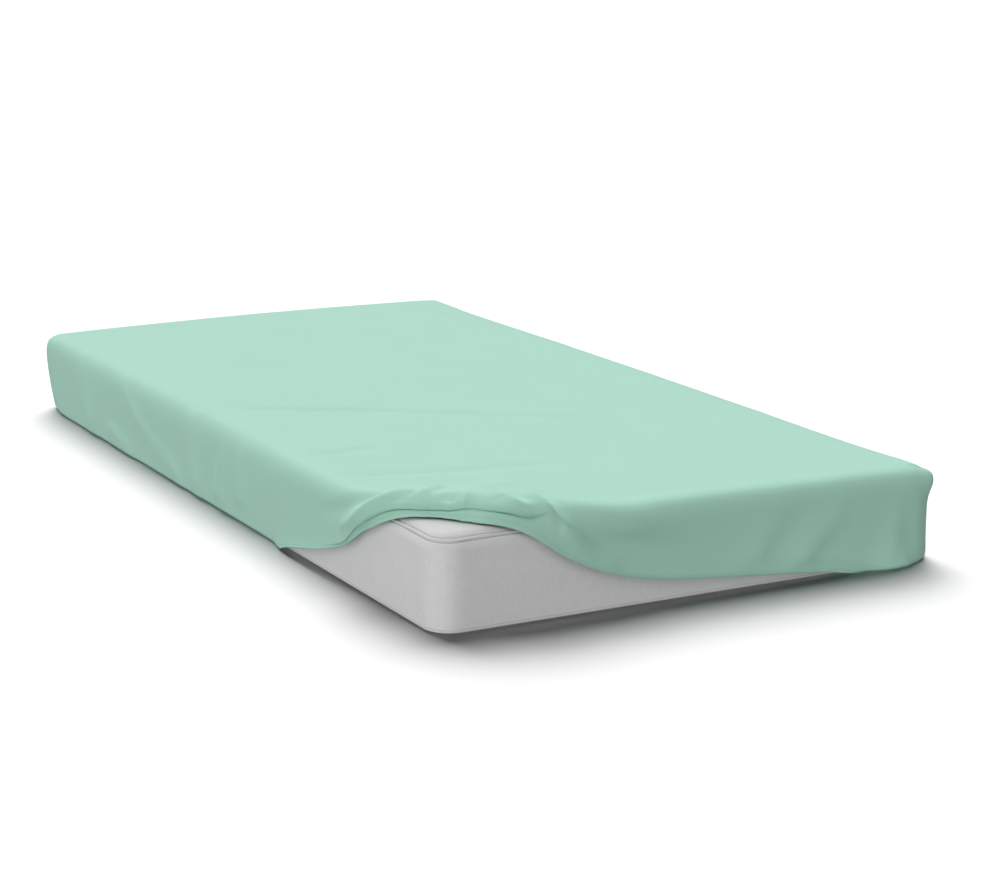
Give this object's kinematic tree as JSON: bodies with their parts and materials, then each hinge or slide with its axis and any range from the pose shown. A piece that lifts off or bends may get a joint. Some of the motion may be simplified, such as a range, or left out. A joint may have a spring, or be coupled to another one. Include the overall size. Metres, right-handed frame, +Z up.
{
  "type": "fitted sheet on a mattress",
  "caption": "Stretch sheet fitted over a single mattress, its hem tucked under all round but for one corner, which is pulled up on to the top in soft folds.",
  "frame": {"origin": "on the surface that the part stands on, under the middle of the mattress", "axes": "+X across the mattress's width, +Y along its length, both away from the lifted corner, +Z up"},
  "size_m": [1.0262, 2.0379, 0.213],
  "materials": {
    "sheet_cloth": "soft knitted jersey, pale mint green, matt",
    "mattress_cloth": "white woven ticking with fine raised dots",
    "piping_cloth": "white ribbed piping tape"
  },
  "bodies": {
    "root": {"fitted_sheet": "sheet_cloth", "mattress": "mattress_cloth", "mattress_top_piping": "piping_cloth", "mattress_bottom_piping": "piping_cloth"}
  },
  "joints": []
}
